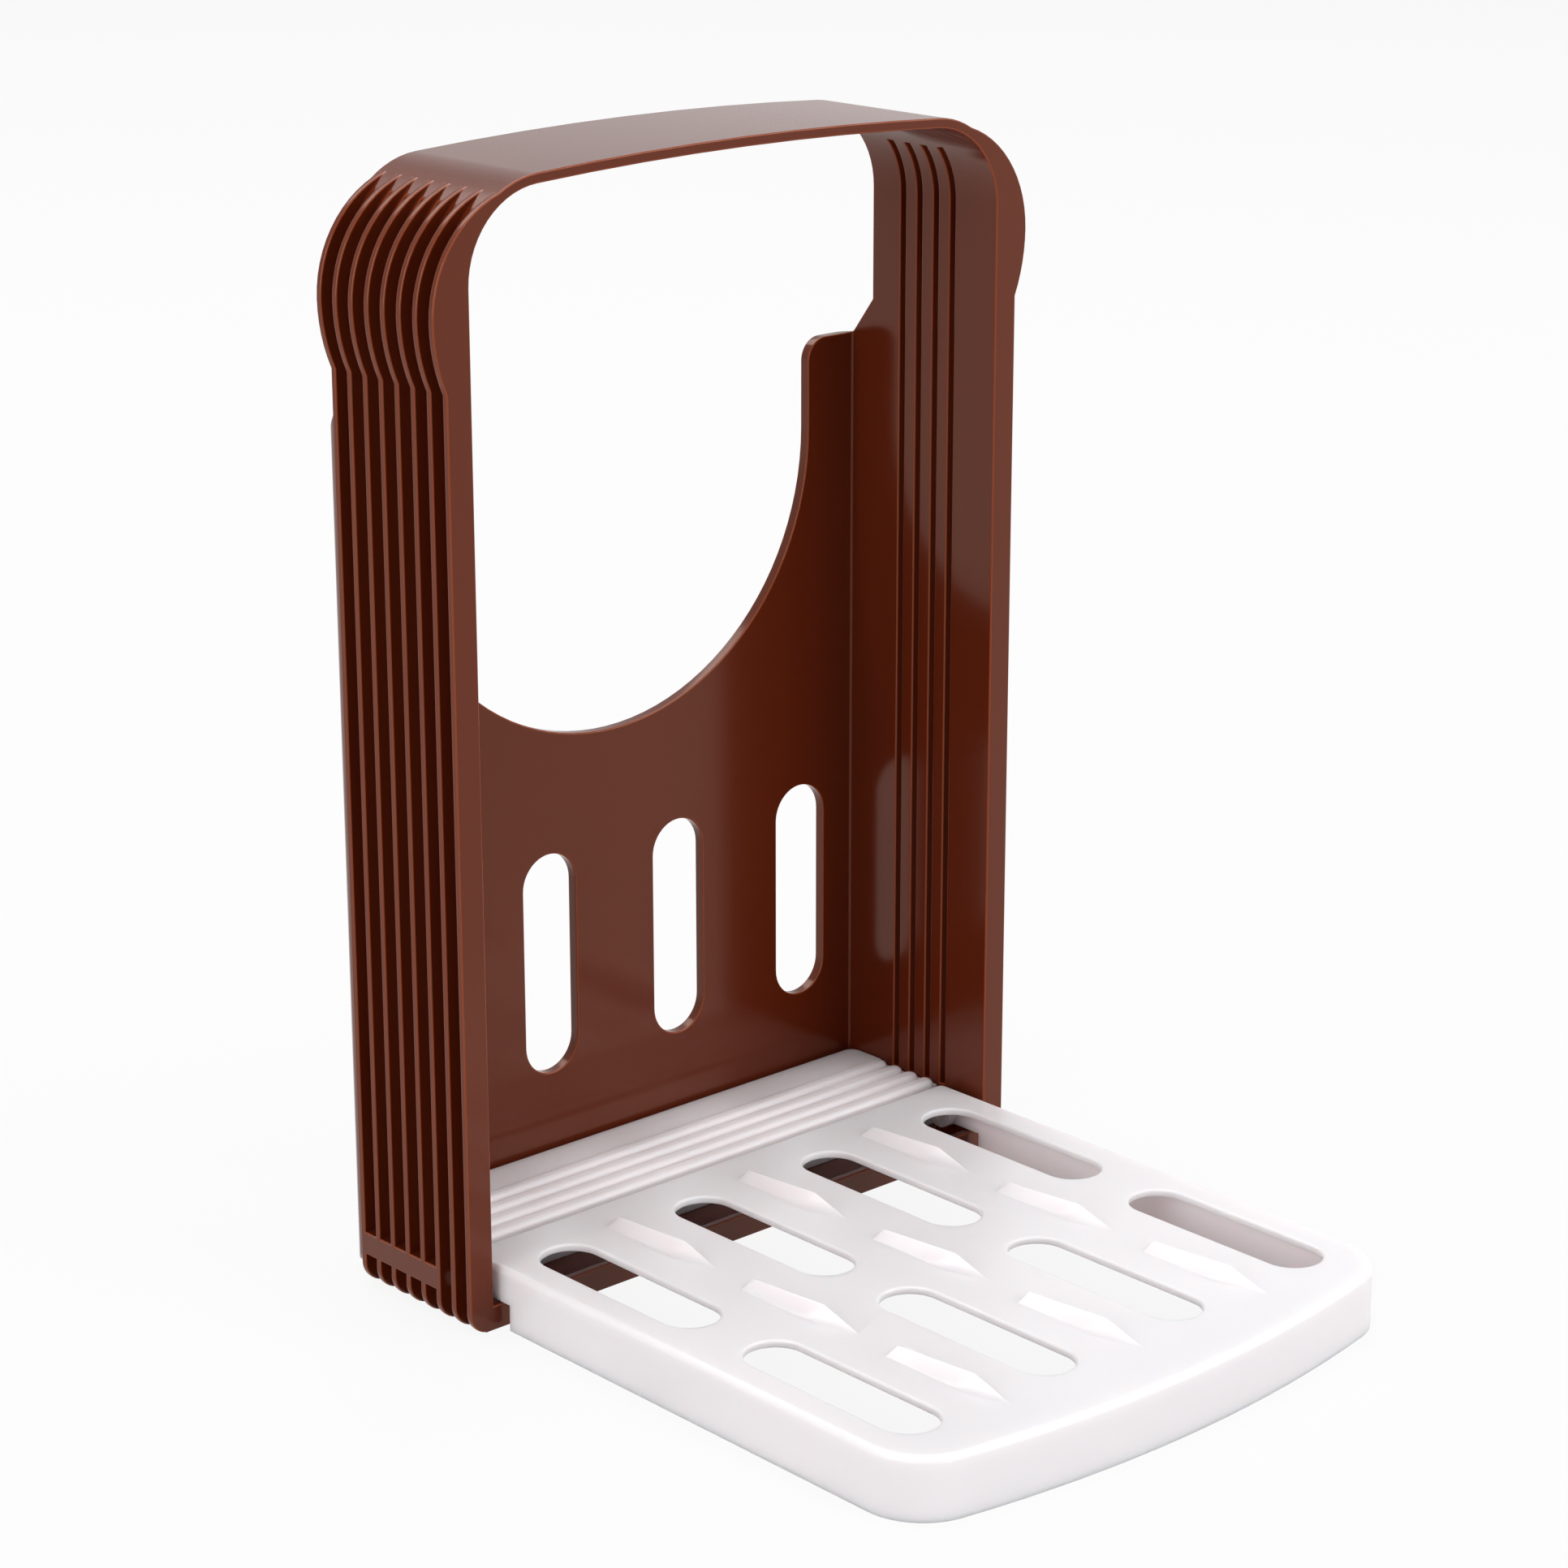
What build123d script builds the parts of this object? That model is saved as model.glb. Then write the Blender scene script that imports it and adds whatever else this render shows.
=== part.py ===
from build123d import *
import os
from math import sqrt

os.makedirs("parts", exist_ok=True)

# Bread slicer guide: a comb frame that holds the loaf upright, a grooved cutting base in its foot,
# and a slotted tray that folds out onto the table and folds up into the frame's mouth.
# Millimetres. Origin: centre of the frame's underside, on the table. +Z up, +X right, the mouth faces -Y.

# ---------------------------------------------------------------- driving dimensions: frame
inner_width = 139.8  # between the inner faces of the side walls
side_wall = 2.1  # side walls and top
rear_run = 9.8  # last fin to the rear face
back_wall = 2.5
crown_height = 234.0  # table to the top's crown
arch_radius = 870.0  # the top's slight bow, on its inner face
inner_corner_radius = 18.0  # side wall into top
rear_corner_radius = 0.6  # side wall into back plate, inside, seen from above
rear_outer_radius = 5.6  # and outside
box_foot_radius = 5.0  # rear box, side wall into floor, outside

fin_count = 8
fin_pitch = 5.0
fin_thickness = 1.4
fin_reach = 3.8  # fins' straight edges beyond the side wall
fin_foot_radius = 5.0
ear_radius = 24.0  # round ears above their widest point
ear_under_radius = 35.0  # and below it
ear_bulge = 2.9  # ears beyond the fins' straight edges
ear_sink = 1.5  # ears' tops below the crown's arch
skin_tail = 1.1  # the wall runs on behind the last fin

bar_bottom = 7.0  # bar that closes the rear comb slots
bar_top = 12.0
bar_slots = 5
slit_width = 1.6
slit_reach = 4.0  # how far over the corner the slits run, from the wall's inner face
slit_slots = (1, 2, 3, 4)  # comb slots, counted from the rear, that have a slit

shoulder_height = 179.7  # top edge of the back plate
gusset_rise = 8.1  # sloped rear edge of the side walls above the shoulder
cutout_radius = 56.7
cutout_centre = 160.0
shoulder_round = 5.0
back_slot_length = 49.5
back_slot_width = 14.2
back_slot_bottom = 29.4

slot_column_inner = 18.1  # columns shared by the back plate's and the tray's slots
slot_column_outer = 54.3

floor_plate = 2.2
lip_height = 5.3
lip_thickness = 2.0

# ---------------------------------------------------------------- driving dimensions: cutting base
base_clearance = 0.3  # to the side walls
base_rear_gap = 1.3  # to the back plate
base_corner_radius = 2.5  # rear corners, seen from above
strip_height = 12.5
ridge_height = 13.2
ridge_width = 3.8
ridge_round = 1.2
ridge_end_gap = 0.9  # ridge ends short of the base's ends
groove_floor = 11.6
base_wall = 1.8
base_front_setback = 0.6  # front wall behind the first ridge's nose
peg_radius = 2.5
peg_inset = 7.0  # pegs from the base's edges
peg_tip_gap = 0.4  # peg ends above the frame's underside

# ---------------------------------------------------------------- driving dimensions: tray
tray_side_gap = 2.0  # tray to the frame's side walls
tray_height = 13.3
tray_wall = 2.0
tray_plate = 1.6
tray_nose = 126.3  # mouth plane to the tray's front, at the middle
tray_tail = 11.4  # tray plate behind the mouth plane
nose_radius = 290.0
tray_corner_radius = 14.0
tray_tail_radius = 2.0
tray_edge_round = 1.4
tray_slot_length = 49.0
tray_slot_width = 12.8
tray_slot_round = 0.5
tray_slot_rows = (23.9, 85.4)  # slot centres in front of the mouth plane
arrow_length = 30.8
arrow_width = 6.4
arrow_head = 9.8
arrow_tail_height = 1.4  # ridge of the arrow above the plate, at its tail
arrow_neck_height = 2.9  # and at the neck, from where it falls to the tip
arrow_tip = 29.8  # first row's tips in front of the mouth plane
arrow_pitch = 41.5
arrow_rows = 3
notch_clearance = 0.3  # tray walls above the frame's lip
notch_run = 2.4  # notch ends this far in front of the mouth plane

# ---------------------------------------------------------------- driving dimensions: hinge
pin_radius = 1.5
pin_running_gap = 0.05
pin_behind_mouth = 8.0  # hinge axis behind the mouth plane
pin_height = 8.0
hinge_boss_radius = 3.4
hinge_boss_depth = 2.0  # boss inside the tray's wall
pin_chamfer = 0.3

# ---------------------------------------------------------------- derived places
frame_depth = (fin_count - 1) * fin_pitch + fin_thickness + rear_run
mouth_y = -frame_depth / 2
rear_y = frame_depth / 2
back_face_y = rear_y - back_wall
wall_in = inner_width / 2
wall_out = wall_in + side_wall
fin_edge = wall_out + fin_reach
last_fin_y = mouth_y + (fin_count - 1) * fin_pitch
skin_end_y = last_fin_y + fin_thickness + skin_tail
slot_gap = fin_pitch - fin_thickness
pin_y = mouth_y + pin_behind_mouth
tray_half = wall_in - tray_side_gap
tray_nose_y = mouth_y - tray_nose
tray_tail_y = mouth_y + tray_tail
pin_inner_x = tray_half - tray_wall - hinge_boss_depth
cut_margin = 1.0  # how far cuts run past the faces they open
base_half = wall_in - base_clearance
base_rear_y = back_face_y - base_rear_gap
slot_columns = (-slot_column_outer, -slot_column_inner, slot_column_inner, slot_column_outer)
arrow_columns = (-(slot_column_inner + slot_column_outer) / 2, 0.0, (slot_column_inner + slot_column_outer) / 2)
arrow_tips = [mouth_y - arrow_tip - row * arrow_pitch for row in range(arrow_rows)]
arrow_places = [(column, tip_y, tray_height) for tip_y in arrow_tips for column in arrow_columns]


def arc_drop(radius, x):
    """Fall of a circle of this radius from its crown, at x from the middle."""
    return radius - sqrt(radius**2 - x**2)


def comb_slot_y(slots_from_rear):
    """Middle of a comb slot, counted from the rear, 0 being the rearmost."""
    return last_fin_y - slots_from_rear * fin_pitch - slot_gap / 2


ridge_lines = [comb_slot_y(slot) + fin_pitch / 2 for slot in slit_slots]
strip_front_y = ridge_lines[0] + ridge_width / 2
base_front_y = ridge_lines[-1] - ridge_width / 2 + base_front_setback
peg_rows = (base_front_y + peg_inset, base_rear_y - peg_inset)
peg_places = [(x, y) for x in (-base_half + peg_inset, base_half - peg_inset) for y in peg_rows]


def across(y):
    """Upright plane across the part at this Y: its x is the part's X and its y is the part's Z."""
    return Plane.XZ.offset(-y)


def arched_box(offset):
    """Face of the box that the loaf stands in, grown by offset; x is the part's X and y its Z."""
    half = wall_in + offset
    top = crown_height - side_wall + offset
    spring = top - arc_drop(arch_radius + offset, half)
    with BuildSketch() as face:
        with BuildLine():
            Polyline((-half, spring), (-half, 0), (half, 0), (half, spring))
            ThreePointArc((half, spring), (0, top), (-half, spring))
        make_face()
        fillet(face.vertices().filter_by_position(Axis.Y, 1, top), inner_corner_radius + offset)
    return face.sketch


def comb_fin():
    """Face of one comb fin round the box: straight sides, rounded feet and a round ear at each top corner."""
    widest = fin_edge + ear_bulge
    ear_x = widest - ear_radius
    ear_z = crown_height - arc_drop(arch_radius + side_wall, ear_x) - ear_sink - ear_radius
    under_x = widest - ear_under_radius
    notch_z = ear_z - sqrt(ear_under_radius**2 - (fin_edge - under_x) ** 2)
    with BuildSketch() as face:
        with BuildLine():
            Polyline((ear_x, ear_z + ear_radius), (-ear_x, ear_z + ear_radius))
            JernArc((-ear_x, ear_z + ear_radius), (-1, 0), ear_radius, 90)
            RadiusArc((-widest, ear_z), (-fin_edge, notch_z), -ear_under_radius)
            Polyline((-fin_edge, notch_z), (-fin_edge, 0), (fin_edge, 0), (fin_edge, notch_z))
            RadiusArc((fin_edge, notch_z), (widest, ear_z), -ear_under_radius)
            JernArc((widest, ear_z), (0, 1), ear_radius, 90)
        make_face()
        fillet(face.vertices().group_by(Axis.Y)[0], fin_foot_radius)
        add(arched_box(side_wall))
        add(arched_box(0), mode=Mode.SUBTRACT)
    return face.sketch


def rear_rounded_plan(half, front_y, back_y, radius):
    """Rectangle seen from above whose two rear corners are rounded."""
    with BuildSketch() as plan:
        with Locations((0, (front_y + back_y) / 2)):
            Rectangle(2 * half, back_y - front_y)
        fillet(plan.vertices().group_by(Axis.Y)[-1], radius)
    return plan.sketch


# ---------------------------------------------------------------- frame
shoulder_top = shoulder_height + gusset_rise
rear_start_y = last_fin_y + fin_thickness
fin_planes = [across(mouth_y + index * fin_pitch) for index in range(fin_count)]

with BuildPart() as frame:
    # Comb fins
    with BuildSketch(*fin_planes):
        add(comb_fin())
    extrude(amount=-fin_thickness)
    # Skin of the box, from the mouth to just behind the last fin
    with BuildSketch(across(mouth_y)):
        add(arched_box(side_wall))
        add(arched_box(0), mode=Mode.SUBTRACT)
    extrude(amount=mouth_y - skin_end_y)
    # Lower rear of the box: side walls and back plate, with rounded upright corners
    with BuildSketch():
        add(rear_rounded_plan(wall_out, rear_start_y, rear_y, rear_outer_radius))
        add(rear_rounded_plan(wall_in, rear_start_y, back_face_y, rear_corner_radius), mode=Mode.SUBTRACT)
    extrude(amount=shoulder_top)
    # Sloped rear edge of the side walls down to the back plate's top edge
    with BuildSketch(Plane.YZ):
        with BuildLine():
            Polyline(
                (skin_end_y, shoulder_top),
                (back_face_y, shoulder_height),
                (rear_y + cut_margin, shoulder_height),
                (rear_y + cut_margin, shoulder_top + cut_margin),
                (skin_end_y, shoulder_top + cut_margin),
                close=True,
            )
        make_face()
    extrude(amount=wall_out + cut_margin, both=True, mode=Mode.SUBTRACT)
    # Rounded cut-out and upright slots of the back plate
    with BuildSketch(across(back_face_y)):
        with Locations((0, cutout_centre)):
            Circle(cutout_radius)
        with Locations((0, (cutout_centre + shoulder_height) / 2)):
            Rectangle(2 * cutout_radius, shoulder_height - cutout_centre)
        with Locations((0, shoulder_height - shoulder_round / 2)):
            Rectangle(2 * (cutout_radius + shoulder_round), shoulder_round)
        shoulder_x = cutout_radius + shoulder_round
        with Locations((-shoulder_x, shoulder_height - shoulder_round), (shoulder_x, shoulder_height - shoulder_round)):
            Circle(shoulder_round, mode=Mode.SUBTRACT)
        for column in slot_columns:
            with Locations((column, back_slot_bottom + back_slot_length / 2)):
                SlotOverall(back_slot_length, back_slot_width, rotation=90)
    extrude(amount=-back_wall, mode=Mode.SUBTRACT)
    # Floor plate and its front lip
    with BuildSketch():
        add(rear_rounded_plan(wall_out, mouth_y, rear_y, rear_outer_radius))
    extrude(amount=floor_plate)
    with BuildSketch():
        with Locations((0, mouth_y + lip_thickness / 2)):
            Rectangle(2 * wall_out, lip_thickness)
    extrude(amount=lip_height)
    # Rounded lower edges of the rear box
    with BuildSketch(across(skin_end_y)):
        for side in (-1, 1):
            with Locations((side * wall_out, 0)):
                Rectangle(2 * box_foot_radius, 2 * box_foot_radius)
            with Locations((side * (wall_out - box_foot_radius), box_foot_radius)):
                Circle(box_foot_radius, mode=Mode.SUBTRACT)
    extrude(amount=skin_end_y - rear_y - cut_margin, mode=Mode.SUBTRACT)
    # Bars that close the rear comb slots near the foot
    bar_front_y = last_fin_y - bar_slots * fin_pitch
    bar_middle = (wall_out + fin_reach / 2, (bar_front_y + rear_start_y) / 2)
    with BuildSketch(Plane.XY.offset(bar_bottom)):
        with Locations((-bar_middle[0], bar_middle[1]), bar_middle):
            Rectangle(fin_reach, rear_start_y - bar_front_y)
    extrude(amount=bar_top - bar_bottom)
    # Knife slits through the side walls, in the middle of their comb slots
    slit_middle_x = (wall_in - slit_reach + fin_edge) / 2
    with BuildSketch(Plane.XY.offset(bar_top)):
        for slot in slit_slots:
            with Locations((-slit_middle_x, comb_slot_y(slot)), (slit_middle_x, comb_slot_y(slot))):
                Rectangle(fin_reach + side_wall + slit_reach, slit_width)
    extrude(amount=crown_height - bar_top, mode=Mode.SUBTRACT)
    # Hinge holes in the side walls
    with BuildSketch(Plane.YZ):
        with Locations((pin_y, pin_height)):
            Circle(pin_radius + pin_running_gap)
    extrude(amount=wall_out + cut_margin, both=True, mode=Mode.SUBTRACT)
    # Peg holes in the floor
    with BuildSketch():
        with Locations(*peg_places):
            Circle(peg_radius)
    extrude(amount=floor_plate, mode=Mode.SUBTRACT)
frame.part.label = "frame"
export_step(frame.part, "parts/frame.step")

# ---------------------------------------------------------------- cutting base
with BuildPart() as cutting_base:
    # Floor of the grooves
    with BuildSketch(Plane.XY.offset(floor_plate)):
        add(rear_rounded_plan(base_half, base_front_y, base_rear_y, base_corner_radius))
    extrude(amount=groove_floor - floor_plate)
    # Rounded ridges, the first one as the strip's front lip
    with BuildSketch(Plane.XY.offset(groove_floor - base_wall)):
        for line in ridge_lines:
            with Locations((0, line)):
                SlotOverall(2 * (base_half - ridge_end_gap), ridge_width)
    extrude(amount=ridge_height - groove_floor + base_wall)
    fillet(cutting_base.edges().group_by(Axis.Z)[-1], ridge_round)
    # Flat strip along the back
    with BuildSketch(Plane.XY.offset(groove_floor)):
        add(rear_rounded_plan(base_half, strip_front_y, base_rear_y, base_corner_radius))
    extrude(amount=strip_height - groove_floor)
    # Hollow underside
    with BuildSketch(Plane.XY.offset(floor_plate)):
        with Locations((0, (base_front_y + base_rear_y) / 2)):
            Rectangle(2 * (base_half - base_wall), base_rear_y - base_front_y - 2 * base_wall)
    extrude(amount=groove_floor - floor_plate - base_wall, mode=Mode.SUBTRACT)
    # Pegs that press into the frame's floor
    with BuildSketch(Plane.XY.offset(peg_tip_gap)):
        with Locations(*peg_places):
            Circle(peg_radius)
    extrude(amount=groove_floor - base_wall / 2 - peg_tip_gap)
cutting_base.part.label = "cutting_base"
export_step(cutting_base.part, "parts/cutting_base.step")


# ---------------------------------------------------------------- tray
def tray_outline(inset, tail_y):
    """Plan of the tray, drawn in from its outer edge: straight sides, bowed nose, rounded corners."""
    half = tray_half - inset
    nose_y = tray_nose_y + inset
    spring_y = nose_y + arc_drop(nose_radius - inset, half)
    with BuildSketch() as plan:
        with BuildLine():
            Polyline((half, spring_y), (half, tail_y), (-half, tail_y), (-half, spring_y))
            ThreePointArc((-half, spring_y), (0, nose_y), (half, spring_y))
        make_face()
        fillet(plan.vertices().group_by(Axis.Y)[0], tray_corner_radius - inset)
    return plan.sketch


def gable(y, ridge):
    """Upright triangle across the arrow rib at this Y, from its base line up to its ridge."""
    with BuildSketch(across(y)) as face:
        with BuildLine():
            Polyline((-arrow_width / 2, 0), (arrow_width / 2, 0), (0, ridge), close=True)
        make_face()
    return face.sketch


# One arrow rib, its tip at the origin: a gabled shaft that rises to the neck and a head that falls to a point
with BuildPart() as arrow_rib:
    loft([gable(arrow_length, arrow_tail_height).face(), gable(arrow_head, arrow_neck_height).face()], ruled=True)
    loft([gable(arrow_head, arrow_neck_height).face(), Vertex(0, 0, 0)], ruled=True)

with BuildPart() as tray:
    extrude(tray_outline(0, tray_tail_y), amount=tray_height)
    fillet(tray.edges().filter_by(Axis.Z).group_by(Axis.Y)[-1], tray_tail_radius)
    fillet(tray.edges().group_by(Axis.Z)[-1], tray_edge_round)
    # Slots through the plate
    with BuildSketch(Plane.XY.offset(tray_height)):
        for row in tray_slot_rows:
            for column in slot_columns:
                with Locations((column, mouth_y - row)):
                    SlotOverall(tray_slot_length, tray_slot_width, rotation=90)
    extrude(amount=-tray_height, mode=Mode.SUBTRACT)
    slot_rims = tray.edges().group_by(Axis.Z)[-1].filter_by(
        lambda edge: abs(edge.center().X) < slot_column_outer + tray_slot_width / 2 + 0.1
        and edge.center().Y < tray_tail_y - tray_tail_radius
        and edge.center().Y > mouth_y - tray_slot_rows[-1] - tray_slot_length / 2 - 0.1
    )
    fillet(slot_rims, tray_slot_round)
    # Hollow underside, open at the tail
    extrude(tray_outline(tray_wall, tray_tail_y + cut_margin), amount=tray_height - tray_plate, mode=Mode.SUBTRACT)
    # Arrow ribs that point to the nose
    with Locations(*arrow_places):
        add(arrow_rib.part)
    # Bosses for the hinge pins
    for side in (-1, 1):
        with BuildSketch(Plane.YZ.offset(side * pin_inner_x)):
            with Locations((pin_y, pin_height)):
                Circle(hinge_boss_radius)
        extrude(amount=side * (hinge_boss_depth + tray_wall / 2))
    # Side walls cut away over the frame's lip and rounded off round the pins
    notch_y = mouth_y - notch_run
    notch_z = lip_height + notch_clearance
    with BuildSketch(Plane.YZ):
        with BuildLine():
            Polyline(
                (notch_y, -cut_margin),
                (notch_y, notch_z),
                (pin_y, notch_z),
                (pin_y, pin_height),
                (tray_tail_y + cut_margin, pin_height),
                (tray_tail_y + cut_margin, -cut_margin),
                close=True,
            )
        make_face()
        with Locations((pin_y, pin_height)):
            Circle(hinge_boss_radius, mode=Mode.SUBTRACT)
    extrude(amount=tray_half + cut_margin, both=True, mode=Mode.SUBTRACT)
    # Pin holes
    with BuildSketch(Plane.YZ):
        with Locations((pin_y, pin_height)):
            Circle(pin_radius)
    extrude(amount=tray_half + cut_margin, both=True, mode=Mode.SUBTRACT)
tray.part.label = "tray"
export_step(tray.part, "parts/tray.step")

# ---------------------------------------------------------------- hinge pins
for side, name in ((-1, "hinge_pin_left"), (1, "hinge_pin_right")):
    with BuildPart() as hinge_pin:
        with BuildSketch(Plane.YZ.offset(side * pin_inner_x)):
            with Locations((pin_y, pin_height)):
                Circle(pin_radius)
        extrude(amount=side * (wall_out - pin_inner_x))
        chamfer(hinge_pin.edges().filter_by(GeomType.CIRCLE), pin_chamfer)
    hinge_pin.part.label = name
    export_step(hinge_pin.part, f"parts/{name}.step")
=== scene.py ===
"""Looks of a bread slicer guide: a brown comb frame, a white cutting base and a white fold-out tray.

Each moulding is a copy of its CAD node whose sharp edges are eased as a mould eases them, and is dressed
in a procedural finish. Everything is in metres, in the frame of the CAD model: +Z up, the mouth to -Y.
"""

import logging
import math
from dataclasses import dataclass, field
from enum import Enum
from typing import Any, ClassVar, Sequence

import bmesh
import bpy
from mathutils import Matrix, Vector

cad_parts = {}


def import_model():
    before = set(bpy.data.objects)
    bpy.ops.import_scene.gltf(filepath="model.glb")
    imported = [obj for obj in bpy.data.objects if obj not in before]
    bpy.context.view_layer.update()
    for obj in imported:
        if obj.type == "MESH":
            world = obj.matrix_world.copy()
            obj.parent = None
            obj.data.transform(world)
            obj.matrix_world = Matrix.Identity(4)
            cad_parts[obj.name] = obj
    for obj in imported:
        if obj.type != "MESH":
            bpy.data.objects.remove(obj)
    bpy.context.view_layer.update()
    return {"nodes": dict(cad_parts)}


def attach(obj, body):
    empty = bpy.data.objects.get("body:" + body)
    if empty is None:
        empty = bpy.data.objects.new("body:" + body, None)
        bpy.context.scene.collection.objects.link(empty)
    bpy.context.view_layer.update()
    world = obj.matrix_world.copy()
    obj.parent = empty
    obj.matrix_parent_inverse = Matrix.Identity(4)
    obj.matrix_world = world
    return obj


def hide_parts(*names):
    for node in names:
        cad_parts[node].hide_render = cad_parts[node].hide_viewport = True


LOG = logging.getLogger("bread_slicer_guide")

MM = 0.001
EASED = "eased"  # mesh attribute: 1 on the faces of the eased edges, 0 elsewhere; it masks the painted edge highlight

Colour = tuple[float, float, float, float]
NodeSocket = bpy.types.NodeSocket


class Body(Enum):
    """Moving bodies of the CAD model."""

    FRAME = "frame"
    TRAY = "tray"


class Slot(Enum):
    """Material slots of the record."""

    BROWN = "brown_plastic"
    WHITE = "white_plastic"
    PIN = "pin_plastic"


class LampRole(Enum):
    """What a lamp does, and its name in the scene."""

    LEFT = "left_softbox"
    RIGHT = "right_softbox"
    TOP = "top_softbox"
    REAR = "rear_top_softbox"


def linear(hex_colour: str) -> Colour:
    """Turn an sRGB hex colour into the linear RGBA that shader sockets take.

    Args:
        hex_colour: Colour as "#RRGGBB".

    Returns:
        Linear red, green and blue, and an alpha of 1.
    """
    channels = [int(hex_colour[start : start + 2], 16) / 255 for start in (1, 3, 5)]
    red, green, blue = [c / 12.92 if c <= 0.04045 else ((c + 0.055) / 1.055) ** 2.4 for c in channels]
    return (red, green, blue, 1.0)


def add_node(
    tree: bpy.types.NodeTree,
    kind: str,
    settings: dict[Any, Any] | None = None,
    links: dict[Any, Any] | None = None,
) -> bpy.types.Node:
    """Add a node to a tree, set it up and link its inputs.

    Args:
        tree: Node tree that gets the node.
        kind: Type of the node, such as "ShaderNodeBump".
        settings: Node properties by name, or input values by (input,) with the input's name or number.
        links: Output sockets by the name or number of the input that they feed.

    Returns:
        The new node.
    """
    node = tree.nodes.new(kind)
    for key, value in (settings or {}).items():
        if isinstance(key, tuple):
            node.inputs[key[0]].default_value = value
        else:
            setattr(node, key, value)
    for key, socket in (links or {}).items():
        tree.links.new(socket, node.inputs[key])
    return node


@dataclass(frozen=True)
class MouldedGloss:
    """Injection-moulded thermoplastic from a polished mould.

    The polish gives clear reflections that ripple a little where the wall has shrunk, the flow of the melt
    leaves cloudy differences of tone, and the light that the thin eased edges let through is painted on
    them as a lighter tone, a painted highlight.
    """

    name: str
    body_hex: str
    cloud_hex: str  # tone of the clouds that the melt's flow leaves
    painted_edge_highlight_hex: str  # painted highlight: the lighter tone of the thin eased edges
    painted_edge_highlight_share: float
    roughness: float
    scuffed_roughness: float
    ior: float
    specular_level: float
    specular_hex: str  # tint of the reflections, which the pigment near the surface warms
    subsurface: float
    scatter_mm: tuple[float, float, float]
    cloud_mm: float = 38.0
    ripple_mm: float = 14.0
    ripple_height_mm: float = 0.010
    scuff_width_mm: float = 0.35  # real hairlines are near 0.02 mm wide and would not show
    scuff_length_mm: float = 16.0
    peel_mm: float = 0.9
    peel_height_mm: float = 0.0006
    cloud_stretch: ClassVar[float] = 2.0  # height of a cloud over its width
    cloud_detail: ClassVar[float] = 2.0
    scuff_detail: ClassVar[float] = 1.0
    scuff_start: ClassVar[float] = 0.60  # noise above which a hairline begins
    scuff_full: ClassVar[float] = 0.72  # and where it reaches its full roughness

    def material(self) -> bpy.types.Material:
        """Build the material.

        Returns:
            The finished node material.
        """
        material = bpy.data.materials.new(self.name)
        material.use_nodes = True
        tree = material.node_tree
        tree.nodes.clear()
        place = add_node(tree, "ShaderNodeTexCoord").outputs["Object"]
        colour = self._colour(tree, place)
        surface = add_node(
            tree,
            "ShaderNodeBsdfPrincipled",
            {
                ("IOR",): self.ior,
                ("Specular IOR Level",): self.specular_level,
                ("Specular Tint",): linear(self.specular_hex),
                ("Subsurface Weight",): self.subsurface,
                ("Subsurface Radius",): tuple(radius * MM for radius in self.scatter_mm),
                ("Subsurface Scale",): 1.0,
            },
            {
                "Base Color": colour,
                "Roughness": self._roughness(tree, place),
                "Normal": self._normal(tree, place),
            },
        )
        add_node(tree, "ShaderNodeOutputMaterial", links={"Surface": surface.outputs["BSDF"]})
        return material

    def _pattern(
        self, tree: bpy.types.NodeTree, place: NodeSocket, size_mm: Sequence[float], detail: float
    ) -> NodeSocket:
        """Add a noise whose features have this size.

        Args:
            tree: Node tree of the material.
            place: Object coordinates.
            size_mm: Size of a feature along X, Y and Z.
            detail: Octaves of finer noise.

        Returns:
            The noise's factor, about 0.5 on average.
        """
        scale = tuple(1 / (size * MM) for size in size_mm)
        mapping = add_node(tree, "ShaderNodeMapping", {("Scale",): scale}, {"Vector": place})
        settings = {("Scale",): 1.0, ("Detail",): detail}
        noise = add_node(tree, "ShaderNodeTexNoise", settings, {"Vector": mapping.outputs["Vector"]})
        return noise.outputs["Fac"]

    def _colour(self, tree: bpy.types.NodeTree, place: NodeSocket) -> NodeSocket:
        """Mix the body tone with the flow clouds and a painted highlight on the thin eased edges.

        Args:
            tree: Node tree of the material.
            place: Object coordinates.

        Returns:
            The base colour.
        """
        size = (self.cloud_mm, self.cloud_mm, self.cloud_stretch * self.cloud_mm)
        clouds = self._pattern(tree, place, size, self.cloud_detail)
        clouded = add_node(
            tree,
            "ShaderNodeMix",
            {"data_type": "RGBA", (6,): linear(self.body_hex), (7,): linear(self.cloud_hex)},
            {0: clouds},
        )
        # painted highlight: the faces of the eased edges take the lighter edge tone
        edge = add_node(tree, "ShaderNodeAttribute", {"attribute_name": EASED})
        share = add_node(
            tree,
            "ShaderNodeMath",
            {"operation": "MULTIPLY", (1,): self.painted_edge_highlight_share},
            {0: edge.outputs["Fac"]},
        )
        edge_highlighted = add_node(
            tree,
            "ShaderNodeMix",
            {"data_type": "RGBA", (7,): linear(self.painted_edge_highlight_hex)},
            {0: share.outputs["Value"], 6: clouded.outputs[2]},
        )
        return edge_highlighted.outputs[2]

    def _roughness(self, tree: bpy.types.NodeTree, place: NodeSocket) -> NodeSocket:
        """Scatter faint upright hairlines from wiping over the polish.

        Args:
            tree: Node tree of the material.
            place: Object coordinates.

        Returns:
            The roughness.
        """
        size = (self.scuff_width_mm, self.scuff_width_mm, self.scuff_length_mm)
        hairlines = self._pattern(tree, place, size, self.scuff_detail)
        spread = add_node(
            tree,
            "ShaderNodeMapRange",
            {
                ("From Min",): self.scuff_start,
                ("From Max",): self.scuff_full,
                ("To Min",): self.roughness,
                ("To Max",): self.scuffed_roughness,
            },
            {"Value": hairlines},
        )
        return spread.outputs["Result"]

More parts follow.
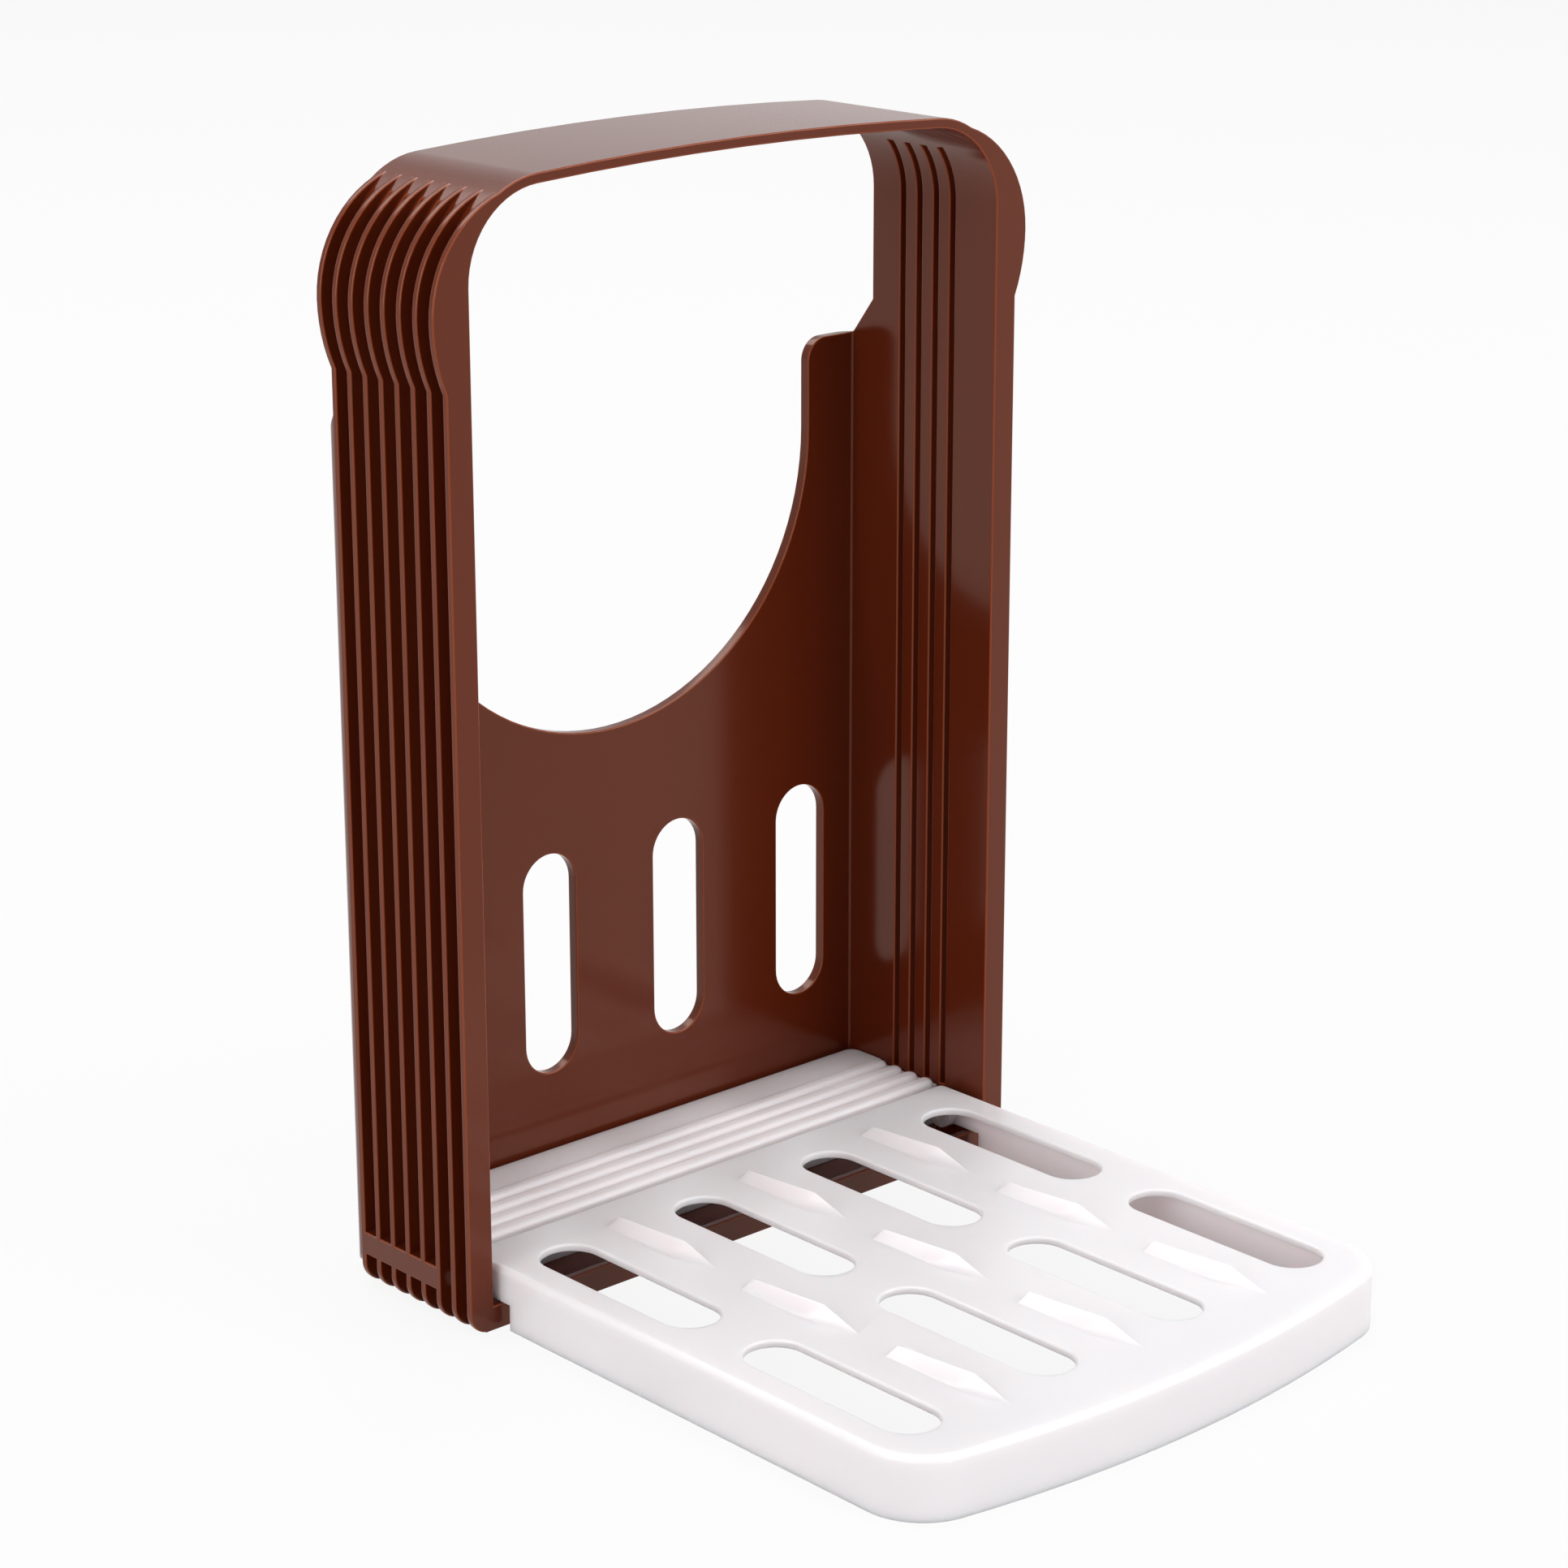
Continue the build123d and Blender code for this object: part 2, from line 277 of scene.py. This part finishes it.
    def _normal(self, tree: bpy.types.NodeTree, place: NodeSocket) -> NodeSocket:
        """Add the slow ripple of shrinkage and the fine peel of the mould's polish.

        Args:
            tree: Node tree of the material.
            place: Object coordinates.

        Returns:
            The shading normal.
        """
        ripple = self._pattern(tree, place, (self.ripple_mm,) * 3, 0.0)
        rippled = add_node(
            tree, "ShaderNodeBump", {("Distance",): self.ripple_height_mm * MM}, {"Height": ripple}
        )
        peel = self._pattern(tree, place, (self.peel_mm,) * 3, 0.0)
        peeled = add_node(
            tree,
            "ShaderNodeBump",
            {("Distance",): self.peel_height_mm * MM},
            {"Height": peel, "Normal": rippled.outputs["Normal"]},
        )
        return peeled.outputs["Normal"]


# Brown styrene blend: dense pigment, so light enters only the thin edges; that light is painted on them as
# an orange highlight
BROWN_STYRENE = MouldedGloss(
    name="brown_styrene_moulded_gloss",
    body_hex="#5C220E",
    cloud_hex="#551E0C",
    painted_edge_highlight_hex="#93411F",
    painted_edge_highlight_share=0.55,
    roughness=0.16,
    scuffed_roughness=0.23,
    ior=1.5,
    specular_level=0.44,
    specular_hex="#FFD0B8",
    subsurface=0.05,
    scatter_mm=(1.2, 0.3, 0.12),
)

# White styrene: pale pigment that lets light in a little way, which softens its own shadows
WHITE_STYRENE = MouldedGloss(
    name="white_styrene_moulded_gloss",
    body_hex="#F6EBED",
    cloud_hex="#F1E6E9",
    # painted highlight: the eased edges are a lighter white than the body
    painted_edge_highlight_hex="#FAF4F6",
    painted_edge_highlight_share=0.6,
    roughness=0.30,
    scuffed_roughness=0.36,
    ior=1.5,
    specular_level=0.4,
    specular_hex="#FFFFFF",
    subsurface=0.8,
    scatter_mm=(6.5, 5.0, 4.7),
)

# Acetal: waxy, slightly yellow white, turned smooth by the mould
PIN_ACETAL = MouldedGloss(
    name="acetal_moulded_satin",
    body_hex="#E3DFD8",
    cloud_hex="#DCD8D0",
    # painted highlight: the eased edges are paler than the body
    painted_edge_highlight_hex="#EEEBE6",
    painted_edge_highlight_share=0.5,
    roughness=0.28,
    scuffed_roughness=0.34,
    ior=1.48,
    specular_level=0.5,
    specular_hex="#FFFFFF",
    subsurface=0.12,
    scatter_mm=(1.6, 1.4, 1.2),
    cloud_mm=5.0,
    ripple_mm=3.0,
    ripple_height_mm=0.003,
    scuff_length_mm=3.0,
)


@dataclass
class Moulding:
    """One moulded piece: an eased copy of its CAD node that stands for it."""

    node: str
    body: Body
    slot: Slot
    finish: MouldedGloss
    edge_radius_mm: float
    edge_segments: int = 3
    sharp_deg: float = 28.0  # edges that turn by more than this are eased
    weld_mm: ClassVar[float] = 0.002
    sliver_mm: ClassVar[float] = 0.04
    flat_deg: ClassVar[float] = 0.5
    round_profile: ClassVar[float] = 0.5  # a quarter circle
    normal_weight: ClassVar[int] = 50  # faces count by their area alone

    @property
    def name(self) -> str:
        """Name of the dressed piece."""
        return f"{self.node}_moulding"

    def build(self, nodes: dict[str, bpy.types.Object]) -> bpy.types.Object:
        """Make the piece, dress it and put it on its body.

        Args:
            nodes: The CAD nodes by name.

        Returns:
            The finished object.
        """
        bm = self.welded(nodes[self.node])
        eased = self.ease(bm)
        piece = self.to_object(bm)
        self.dress(piece)
        LOG.info("%s: %d faces, %d eased edges", self.name, len(piece.data.polygons), len(eased))
        return piece

    def welded(self, node: bpy.types.Object) -> bmesh.types.BMesh:
        """Copy a CAD node's mesh, close its seams and clear the flat faces of their triangles.

        Args:
            node: The CAD node.

        Returns:
            The merged mesh.
        """
        bm = bmesh.new()
        bm.from_mesh(node.data)
        bmesh.ops.remove_doubles(bm, verts=bm.verts, dist=self.weld_mm * MM)
        bmesh.ops.dissolve_degenerate(bm, edges=bm.edges, dist=self.sliver_mm * MM)
        bmesh.ops.dissolve_limit(
            bm, angle_limit=math.radians(self.flat_deg), verts=bm.verts, edges=bm.edges, delimit={"NORMAL"}
        )
        return bm

    def sharp_edges(self, bm: bmesh.types.BMesh) -> list[bmesh.types.BMEdge]:
        """Find the outer edges that a mould would ease.

        Args:
            bm: The merged mesh.

        Returns:
            The convex edges that turn sharply.
        """
        limit = math.radians(self.sharp_deg)
        return [edge for edge in bm.edges if edge.is_manifold and edge.calc_face_angle_signed() > limit]

    def ease(self, bm: bmesh.types.BMesh) -> list[bmesh.types.BMEdge]:
        """Round the sharp outer edges and mark the faces that come of it, which get the painted edge
        highlight.

        Args:
            bm: The merged mesh, which is changed.

        Returns:
            The edges that were eased.
        """
        edges = self.sharp_edges(bm)
        layer = bm.faces.layers.float.new(EASED)
        rounded = bmesh.ops.bevel(
            bm,
            geom=edges,
            offset=self.edge_radius_mm * MM,
            offset_type="OFFSET",
            segments=self.edge_segments,
            profile=self.round_profile,
            affect="EDGES",
            clamp_overlap=False,
            loop_slide=True,
            material=-1,
        )
        for face in rounded["faces"]:
            face[layer] = 1.0
        return edges

    def to_object(self, bm: bmesh.types.BMesh) -> bpy.types.Object:
        """Turn the mesh into a smooth-shaded object at the origin.

        Args:
            bm: The finished mesh, which is freed.

        Returns:
            The object.
        """
        for face in bm.faces:
            face.smooth = True
        mesh = bpy.data.meshes.new(self.name)
        bm.to_mesh(mesh)
        bm.free()
        mesh.set_sharp_from_angle(angle=math.radians(self.sharp_deg))
        piece = bpy.data.objects.new(self.name, mesh)
        bpy.context.scene.collection.objects.link(piece)
        weighted = piece.modifiers.new("flat_faces_stay_flat", "WEIGHTED_NORMAL")
        weighted.mode = "FACE_AREA"
        weighted.weight = self.normal_weight
        weighted.keep_sharp = True
        return piece

    def dress(self, piece: bpy.types.Object) -> None:
        """Give the piece its finish and its body, and hide the CAD node that it stands for.

        Args:
            piece: The built object.
        """
        piece.data.materials.append(self.finish.material())
        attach(piece, self.body.value)
        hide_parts(self.node)


@dataclass
class CombFrame(Moulding):
    """The brown upright: comb fins, box walls, back plate and foot."""

    node: str = "frame"
    body: Body = Body.FRAME
    slot: Slot = Slot.BROWN
    finish: MouldedGloss = BROWN_STYRENE
    edge_radius_mm: float = 0.3


@dataclass
class CuttingBase(Moulding):
    """The white grooved base that the knife comes down on."""

    node: str = "cutting_base"
    body: Body = Body.FRAME
    slot: Slot = Slot.WHITE
    finish: MouldedGloss = WHITE_STYRENE
    edge_radius_mm: float = 0.25


@dataclass
class FoldOutTray(Moulding):
    """The white slotted tray with its arrow ribs."""

    node: str = "tray"
    body: Body = Body.TRAY
    slot: Slot = Slot.WHITE
    finish: MouldedGloss = WHITE_STYRENE
    edge_radius_mm: float = 0.22


@dataclass
class HingePin(Moulding):
    """One of the two pins that the tray turns on."""

    node: str = "hinge_pin_left"
    body: Body = Body.TRAY
    slot: Slot = Slot.PIN
    finish: MouldedGloss = PIN_ACETAL
    edge_radius_mm: float = 0.08


@dataclass(frozen=True)
class Lamp:
    """A soft rectangular lamp that looks at the foot of the object."""

    role: LampRole
    place: tuple[float, float, float]
    size: tuple[float, float]
    radiance: float  # brightness of its face, where 1 is the white of the background
    target: tuple[float, float, float] = (0.0, -0.05, 0.06)

    def build(self) -> bpy.types.Object:
        """Make the lamp.

        Returns:
            The lamp's object.
        """
        light = bpy.data.lights.new(self.role.value, "AREA")
        light.shape = "RECTANGLE"
        light.size, light.size_y = self.size
        light.energy = self.radiance * math.pi * self.size[0] * self.size[1]
        lamp = bpy.data.objects.new(self.role.value, light)
        aim = (Vector(self.target) - Vector(self.place)).to_track_quat("-Z", "Y")
        lamp.matrix_world = Matrix.LocRotScale(Vector(self.place), aim, None)
        lamp.visible_camera = False
        bpy.context.scene.collection.objects.link(lamp)
        return lamp


@dataclass
class Studio:
    """Pale floor, white surroundings, soft lamps and the camera."""

    floor_size: float = 14.0
    floor_hex: str = "#D4D3D3"
    floor_white_share: float = 0.90  # part of the floor that the camera sees as plain white
    surroundings: float = 0.05
    camera_place: tuple[float, float, float] = (-0.52587, -0.60817, 0.34866)
    camera_right: tuple[float, float, float] = (0.737641, -0.675193, -0.000483)
    camera_up: tuple[float, float, float] = (0.203170, 0.221279, 0.953812)
    lens_mm: float = 91.99
    sensor_mm: float = 36.0
    nearest: float = 0.05  # the camera's near clip
    lamps: list[Lamp] = field(
        default_factory=lambda: [
            Lamp(LampRole.LEFT, (-2.6, -0.5, 0.9), (2.4, 2.2), 3.3),
            Lamp(LampRole.RIGHT, (1.35, -2.25, 1.25), (2.6, 2.2), 3.35),
            Lamp(LampRole.TOP, (-0.1, -0.7, 2.5), (2.0, 2.0), 1.5),
            Lamp(LampRole.REAR, (0.3, 1.0, 2.4), (2.2, 2.2), 3.5),
        ]
    )

    def build(self) -> None:
        """Set up the whole studio."""
        self.make_floor()
        self.make_world()
        for lamp in self.lamps:
            lamp.build()
            LOG.info("lamp %s", lamp.role.value)
        self.make_camera()
        bpy.context.scene.view_settings.view_transform = "Standard"

    def make_floor(self) -> bpy.types.Object:
        """Lay the floor that the part stands on.

        Returns:
            The floor.
        """
        bm = bmesh.new()
        bmesh.ops.create_grid(bm, x_segments=1, y_segments=1, size=self.floor_size / 2)
        mesh = bpy.data.meshes.new("floor")
        bm.to_mesh(mesh)
        bm.free()
        floor = bpy.data.objects.new("floor", mesh)
        bpy.context.scene.collection.objects.link(floor)
        mesh.materials.append(self.floor_material())
        return floor

    def _sees_background(self, tree: bpy.types.NodeTree) -> NodeSocket:
        """Tell the rays that show the background.

        Args:
            tree: Node tree of the floor or the world.

        Returns:
            1 for camera, glossy and transmission rays, 0 for the rest.
        """
        path = add_node(tree, "ShaderNodeLightPath")
        first = add_node(
            tree,
            "ShaderNodeMath",
            {"operation": "MAXIMUM"},
            {0: path.outputs["Is Camera Ray"], 1: path.outputs["Is Glossy Ray"]},
        )
        either = add_node(
            tree,
            "ShaderNodeMath",
            {"operation": "MAXIMUM"},
            {0: first.outputs["Value"], 1: path.outputs["Is Transmission Ray"]},
        )
        return either.outputs["Value"]

    def floor_material(self) -> bpy.types.Material:
        """Make the floor's matt white paper, which looks as white as the background but keeps a shadow.

        Returns:
            The material.
        """
        material = bpy.data.materials.new("white_paper_floor")
        material.use_nodes = True
        tree = material.node_tree
        tree.nodes.clear()
        paper = add_node(tree, "ShaderNodeBsdfDiffuse", {("Color",): linear(self.floor_hex)})
        white = add_node(tree, "ShaderNodeEmission", {("Strength",): 1.0})
        share = add_node(
            tree,
            "ShaderNodeMath",
            {"operation": "MULTIPLY", (1,): self.floor_white_share},
            {0: self._sees_background(tree)},
        )
        mix = add_node(
            tree,
            "ShaderNodeMixShader",
            links={0: share.outputs["Value"], 1: paper.outputs["BSDF"], 2: white.outputs["Emission"]},
        )
        add_node(tree, "ShaderNodeOutputMaterial", links={"Surface": mix.outputs["Shader"]})
        return material

    def make_world(self) -> None:
        """Surround the part with white that lights it softly."""
        world = bpy.data.worlds.new("white_surroundings")
        world.use_nodes = True
        tree = world.node_tree
        tree.nodes.clear()
        strength = add_node(
            tree,
            "ShaderNodeMapRange",
            {("To Min",): self.surroundings, ("To Max",): 1.0},
            {"Value": self._sees_background(tree)},
        )
        white = add_node(tree, "ShaderNodeBackground", links={"Strength": strength.outputs["Result"]})
        add_node(tree, "ShaderNodeOutputWorld", links={"Surface": white.outputs["Background"]})
        bpy.context.scene.world = world

    def make_camera(self) -> bpy.types.Object:
        """Set the camera where the photograph was taken from.

        Returns:
            The camera.
        """
        data = bpy.data.cameras.new("camera")
        data.sensor_width = self.sensor_mm
        data.lens = self.lens_mm
        data.clip_start = self.nearest
        camera = bpy.data.objects.new("camera", data)
        right, up = Vector(self.camera_right), Vector(self.camera_up)
        axes = Matrix((right, up, right.cross(up))).transposed()
        camera.matrix_world = Matrix.Translation(self.camera_place) @ axes.to_4x4()
        bpy.context.scene.collection.objects.link(camera)
        bpy.context.scene.camera = camera
        return camera


def main() -> None:
    """Build the dressed part and its studio."""
    logging.basicConfig(level=logging.INFO, format="%(name)s: %(message)s")
    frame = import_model()
    mouldings = [
        CombFrame(),
        CuttingBase(),
        FoldOutTray(),
        HingePin(node="hinge_pin_left"),
        HingePin(node="hinge_pin_right"),
    ]
    for moulding in mouldings:
        moulding.build(frame["nodes"])
    Studio().build()


if __name__ == "__main__":
    main()
